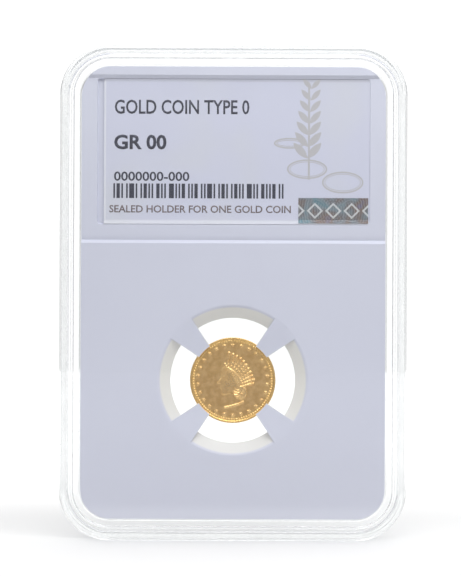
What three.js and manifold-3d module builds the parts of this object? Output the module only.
// A sealed holder ("slab") for one small graded coin, in millimetres, +Z up.
// Two clear shells meet at a tongue-and-groove seam and shut in a white core. The core grips the
// coin by four prongs, and has a pocket on each side for a label. The holder stands on its bottom
// edge with its front facing -Y, and the origin is at the middle of that edge.
//
// Everything is drawn in the holder's own frame, x to the right, y towards its top and z towards
// its front, with z = 0 at the seam. The group at the end stands it up.
import * as THREE from "three";
import { mergeVertices } from "three/addons/utils/BufferGeometryUtils.js";
import Module from "manifold-3d";

const wasm = await Module();
wasm.setup();

// Driving dimensions.
const WIDTH = 60.3;
const HEIGHT = 86.0;
const CORNER = 8.8; // radius of the shells' outer corners
const RIM_Z = 4.0; // half the holder's thickness: top of the front rim, foot of the rear ridge
const WINDOW_Z = 3.1; // outer faces of the two windows
const WINDOW_INNER_Z = 1.8; // inner faces of the two windows
const SEAM_GAP = 0.05; // each shell stops this far from the seam plane

// Distances from the outer wall, inwards.
const SHOULDER_INSET = 0.95; // width of the rounded shoulder
const SHOULDER_RISE = 1.3; // depth of the rounded shoulder
const TONGUE = { outer: 1.45, inner: 1.85, tip: -0.75 };
const GROOVE = { outer: 1.3, inner: 2.0, floor: -0.95 };
const FRONT_RIM_INSET = 2.53; // inner edge of the front rim
const REAR_RIDGE = { outer: 3.25, inner: 4.75 }; // nests inside the next holder's front rim
const CAVITY_INSET = 3.35;
const CORE_INSET = 3.7;

// Shallow notches on the seam, one or more on every side.
const NOTCH = { length: 3.7, depth: 0.25, height: 1.2 };
const SIDE_NOTCH_PITCH = 26.2;
const TOP_NOTCH = { length: 1.7, offset: 1.1 }; // the top one is split in two

// The core, from its front face at +CORE_Z to its rear face at -CORE_Z.
const CORE_Z = 1.65;
// The label field is stepped down across the whole core, with a groove along its lower edge.
const LABEL_FIELD = { z: 1.25, foot: 10.1, head: 37.3, high: 37.85 };
const FIELD_GROOVE = { low: 8.6, bottom: 9.2, z: 1.05 };
const POCKET = { halfWidth: 23.6, low: 12.03, high: 37.13, z: 0.75, corner: 0.4, draft: 0.15 };

const COIN_Y = -15.2; // centre of the coin and of the core's aperture
const APERTURE = { waist: 10.9, waistZ: 0.25 };
// The aperture's rounded lip, from the cone out to the core's face, and the prongs' softer one.
const LIP = [
  [12.4, 1.2],
  [12.7, 1.42],
  [12.95, 1.57],
  [13.25, CORE_Z],
];
const PRONG_LIP = [
  [11.8, 1.47],
  [12.5, 1.59],
  [13.3, CORE_Z],
];
const PRONG = { tip: 7.15, root: 13.8, tipHalf: 1.2, flare: 0.22, tipZ: 0.95 };

const COIN = { radius: 7.5, rim: 0.45, chamfer: 0.15, rimZ: 0.4, fieldZ: 0.27 };
const COIN_PLAY = 0.1; // clearance all round the coin in the prongs' grooves

const LABEL = { width: 46.0, height: 24.9, corner: 0.3, thickness: 0.25 };
const LABEL_PLAY = 0.15; // clearance between each label and its pocket's floor and right wall
const FOIL = { width: 12.15, height: 4.45, thickness: 0.1, lift: 0.05 };

const CURVE_STEPS = 12; // steps in each quarter of a rounded outline
const ROUND_STEPS = 128; // steps round the aperture and the coin

// A rounded rectangle centred on (x, y).
function roundedOutline(halfWidth, halfHeight, radius, x = 0, y = 0) {
  const right = halfWidth - radius;
  const top = halfHeight - radius;
  const quarter = Math.PI / 2;
  return new THREE.Shape()
    .absarc(x + right, y + top, radius, 0, quarter)
    .absarc(x - right, y + top, radius, quarter, 2 * quarter)
    .absarc(x - right, y - top, radius, 2 * quarter, 3 * quarter)
    .absarc(x + right, y - top, radius, 3 * quarter, 4 * quarter);
}

// The holder's outline moved in by inset.
function insetOutline(inset) {
  return roundedOutline(WIDTH / 2 - inset, HEIGHT / 2 - inset, CORNER - inset);
}

// A three.js geometry as a manifold-3d solid.
function solid(geometry) {
  geometry.deleteAttribute("normal");
  geometry.deleteAttribute("uv");
  const merged = mergeVertices(geometry, 1e-4);
  return new wasm.Manifold(
    new wasm.Mesh({
      numProp: 3,
      vertProperties: merged.attributes.position.array,
      triVerts: new Uint32Array(merged.index.array),
    }),
  );
}

// A manifold-3d solid as a three.js geometry, with flat shading.
function geometryOf(made) {
  const mesh = made.getMesh();
  const geometry = new THREE.BufferGeometry()
    .setAttribute("position", new THREE.BufferAttribute(mesh.vertProperties, 3))
    .setIndex(new THREE.BufferAttribute(mesh.triVerts, 1))
    .toNonIndexed();
  geometry.computeVertexNormals();
  return geometry;
}

// An outline extruded from z = low to z = high.
function plate(outline, low, high) {
  const options = { depth: high - low, bevelEnabled: false, curveSegments: CURVE_STEPS };
  return solid(new THREE.ExtrudeGeometry(outline, options).translate(0, 0, low));
}

function box(width, height, depth, x, y, z) {
  return solid(new THREE.BoxGeometry(width, height, depth).translate(x, y, z));
}

// A closed or axis-to-axis profile of [radius, z] points, turned about the coin's axis.
function turned(profile) {
  const points = profile.map(([radius, z]) => new THREE.Vector2(radius, z));
  const lathe = new THREE.LatheGeometry(points, ROUND_STEPS).rotateX(Math.PI / 2);
  return solid(lathe.translate(0, COIN_Y, 0));
}

// The band between two insets, from z = low to z = high.
function ring(outer, inner, low, high) {
  const middle = plate(insetOutline(inner), low - 1, high + 1);
  return plate(insetOutline(outer), low, high).subtract(middle);
}

// One half of the outer form: straight sides from the seam, then a rounded shoulder up to face.
// It is drawn rising towards the front, and side = -1 turns it over for the rear shell.
function halfBody(face, side) {
  const options = {
    depth: 2 * (face - SHOULDER_RISE),
    bevelThickness: SHOULDER_RISE,
    bevelSize: SHOULDER_INSET,
    bevelOffset: -SHOULDER_INSET,
    bevelSegments: 4,
    curveSegments: CURVE_STEPS,
  };
  const both = new THREE.ExtrudeGeometry(insetOutline(0), options);
  both.translate(0, 0, SHOULDER_RISE - face);
  const depth = 2 * RIM_Z;
  const middle = side * (SEAM_GAP + depth / 2);
  return solid(both).intersect(box(2 * WIDTH, 2 * HEIGHT, depth, 0, 0, middle));
}

// The shallow notches that cross the seam, as cutters.
function seamNotches() {
  const cutters = [];
  const side = WIDTH / 2;
  const end = HEIGHT / 2;
  for (const row of [-1, 0, 1]) {
    for (const x of [-side, side]) {
      cutters.push(box(2 * NOTCH.depth, NOTCH.length, NOTCH.height, x, row * SIDE_NOTCH_PITCH, 0));
    }
  }
  for (const x of [-TOP_NOTCH.offset, TOP_NOTCH.offset]) {
    for (const y of [-end, end]) {
      cutters.push(box(TOP_NOTCH.length, 2 * NOTCH.depth, NOTCH.height, x, y, 0));
    }
  }
  return cutters;
}

function withoutAll(body, cutters) {
  return cutters.reduce((left, cutter) => left.subtract(cutter), body);
}

function frontShell() {
  const recess = plate(insetOutline(FRONT_RIM_INSET), WINDOW_Z, RIM_Z + 1);
  const cavity = plate(insetOutline(CAVITY_INSET), -RIM_Z, WINDOW_INNER_Z);
  const tongue = ring(TONGUE.outer, TONGUE.inner, TONGUE.tip, SEAM_GAP + 0.5);
  const body = halfBody(RIM_Z, 1).subtract(recess).add(tongue).subtract(cavity);
  return withoutAll(body, seamNotches());
}

function rearShell() {
  const ridge = ring(REAR_RIDGE.outer, REAR_RIDGE.inner, -RIM_Z, -WINDOW_Z + 0.5);
  const cavity = plate(insetOutline(CAVITY_INSET), -WINDOW_INNER_Z, RIM_Z);
  const groove = ring(GROOVE.outer, GROOVE.inner, GROOVE.floor, RIM_Z);
  const body = halfBody(WINDOW_Z, -1).add(ridge).subtract(cavity).subtract(groove);
  return withoutAll(body, seamNotches());
}

// The point where the line from a to b comes out of the face to the height z.
function carriedOut(a, b, z) {
  const t = (z - a[1]) / (b[1] - a[1]);
  return [a[0] + t * (b[0] - a[0]), z];
}

// Cuts the label field and its groove into one face: side = 1 is the front and -1 the rear.
function labelStep(side) {
  const { z, foot, head, high } = LABEL_FIELD;
  const over = CORE_Z + 1;
  const groove = [FIELD_GROOVE.bottom, FIELD_GROOVE.z];
  const top = [head, z];
  const section = [
    groove,
    [foot, z],
    top,
    carriedOut(top, [high, CORE_Z], over),
    carriedOut(groove, [FIELD_GROOVE.low, CORE_Z], over),
  ];
  const outline = new THREE.Shape(section.map(([y, depth]) => new THREE.Vector2(y, side * depth)));
  const options = { depth: WIDTH, bevelEnabled: false };
  const wedge = new THREE.ExtrudeGeometry(outline, options).translate(0, 0, -WIDTH / 2);
  const alongX = new THREE.Matrix4().makeBasis(
    new THREE.Vector3(0, 1, 0),
    new THREE.Vector3(0, 0, 1),
    new THREE.Vector3(1, 0, 0),
  );
  return solid(wedge.applyMatrix4(alongX));
}

const POCKET_Y = (POCKET.low + POCKET.high) / 2;

// The pocket's outline, wider by its draft at the level of the label field.
function pocketOutline(grown) {
  const { halfWidth, low, high, corner } = POCKET;
  return roundedOutline(halfWidth + grown, (high - low) / 2 + grown, corner + grown, 0, POCKET_Y);
}

function labelPocket(side) {
  const thin = 0.01;
  const bottom = plate(pocketOutline(0), POCKET.z, POCKET.z + thin);
  const mouth = plate(pocketOutline(POCKET.draft), LABEL_FIELD.z, LABEL_FIELD.z + thin);
  const pocket = wasm.Manifold.hull([bottom, mouth]);
  return side > 0 ? pocket : pocket.mirror([0, 0, 1]);
}

// The coin's opening: a cone in from each face, with a rounded lip, meeting at a narrow waist.
function aperture() {
  const { waist, waistZ } = APERTURE;
  const far = CORE_Z + 1;
  const half = [[waist, waistZ], ...LIP, [LIP.at(-1)[0], far], [0, far]];
  return turned([...half.map(([radius, z]) => [radius, -z]).reverse(), ...half]);
}

// The four prongs, which narrow and thin down towards the coin and hold its edge in a groove.
function prongs() {
  const { tip, root, tipHalf, flare, tipZ } = PRONG;
  const rootHalf = tipHalf + flare * (root - tip);
  const outline = new THREE.Shape([
    new THREE.Vector2(tip - 1, -tipHalf),
    new THREE.Vector2(root, -rootHalf),
    new THREE.Vector2(root, rootHalf),
    new THREE.Vector2(tip - 1, tipHalf),
  ]);
  const options = { depth: 2 * CORE_Z, bevelEnabled: false };
  const arms = [45, 135, 225, 315].map((degrees) => {
    const arm = new THREE.ExtrudeGeometry(outline, options).translate(0, 0, -CORE_Z);
    return solid(arm.rotateZ(THREE.MathUtils.degToRad(degrees)).translate(0, COIN_Y, 0));
  });
  const half = [[COIN.radius, tipZ], ...PRONG_LIP, [root + 1, CORE_Z]];
  const thinning = turned([
    [0, -tipZ],
    ...half.map(([radius, z]) => [radius, -z]),
    ...half.reverse(),
    [0, tipZ],
  ]);
  const coinSpace = turned([
    [0, -CORE_Z - 1],
    [tip, -CORE_Z - 1],
    [tip, -COIN.rimZ - COIN_PLAY],
    [COIN.radius + COIN_PLAY, -COIN.rimZ - COIN_PLAY],
    [COIN.radius + COIN_PLAY, COIN.rimZ + COIN_PLAY],
    [tip, COIN.rimZ + COIN_PLAY],
    [tip, CORE_Z + 1],
    [0, CORE_Z + 1],
  ]);
  return arms.map((arm) => arm.intersect(thinning).subtract(coinSpace));
}

function coinCore() {
  const slab = plate(insetOutline(CORE_INSET), -CORE_Z, CORE_Z);
  const cutters = [labelStep(1), labelStep(-1), labelPocket(1), labelPocket(-1), aperture()];
  return prongs().reduce((core, prong) => core.add(prong), withoutAll(slab, cutters));
}

// The coin's blank, with its raised rims.
function coin() {
  const { radius, rim, chamfer, rimZ, fieldZ } = COIN;
  const rimInner = radius - rim;
  return turned([
    [0, -fieldZ],
    [rimInner - chamfer, -fieldZ],
    [rimInner, -rimZ],
    [radius, -rimZ],
    [radius, rimZ],
    [rimInner, rimZ],
    [rimInner - chamfer, fieldZ],
    [0, fieldZ],
  ]);
}

// A label in its pocket, against the pocket's right wall: side = 1 is the front and -1 the rear.
const LABEL_RIGHT = POCKET.halfWidth - LABEL_PLAY;
const LABEL_FACE = POCKET.z + LABEL_PLAY + LABEL.thickness;

function label(side) {
  const { width, height, corner, thickness } = LABEL;
  const near = side * (LABEL_FACE - thickness);
  const far = side * LABEL_FACE;
  const x = LABEL_RIGHT - width / 2;
  const outline = roundedOutline(width / 2, height / 2, corner, x, POCKET_Y);
  return plate(outline, Math.min(near, far), Math.max(near, far));
}

// The foil patch, on the front label's lower right corner.
function labelFoil() {
  const { width, height, thickness, lift } = FOIL;
  const x = LABEL_RIGHT - width / 2;
  const y = POCKET_Y - LABEL.height / 2 + height / 2;
  return box(width, height, thickness, x, y, LABEL_FACE + lift + thickness / 2);
}

const clearPlastic = new THREE.MeshStandardMaterial({
  color: 0xf2f5f6,
  roughness: 0.05,
  metalness: 0,
  transparent: true,
  opacity: 0.25,
});
const whitePlastic = new THREE.MeshStandardMaterial({ color: 0xd6d7e4, roughness: 0.45 });
const gold = new THREE.MeshStandardMaterial({ color: 0xc39a52, roughness: 0.3, metalness: 1 });
const paper = new THREE.MeshStandardMaterial({ color: 0xd8d8e2, roughness: 0.8 });
const foil = new THREE.MeshStandardMaterial({ color: 0xa6a8ac, roughness: 0.25, metalness: 1 });

function named(name, made, material) {
  const mesh = new THREE.Mesh(geometryOf(made), material);
  mesh.name = name;
  return mesh;
}

const holder = new THREE.Group();
holder.add(
  named("front_shell", frontShell(), clearPlastic),
  named("rear_shell", rearShell(), clearPlastic),
  named("coin_core", coinCore(), whitePlastic),
  named("coin", coin(), gold),
  named("front_label", label(1), paper),
  named("label_foil_patch", labelFoil(), foil),
  named("rear_label", label(-1), foil),
);
holder.rotation.x = Math.PI / 2;
holder.position.z = HEIGHT / 2;

const part = new THREE.Group();
part.add(holder);

export default part;
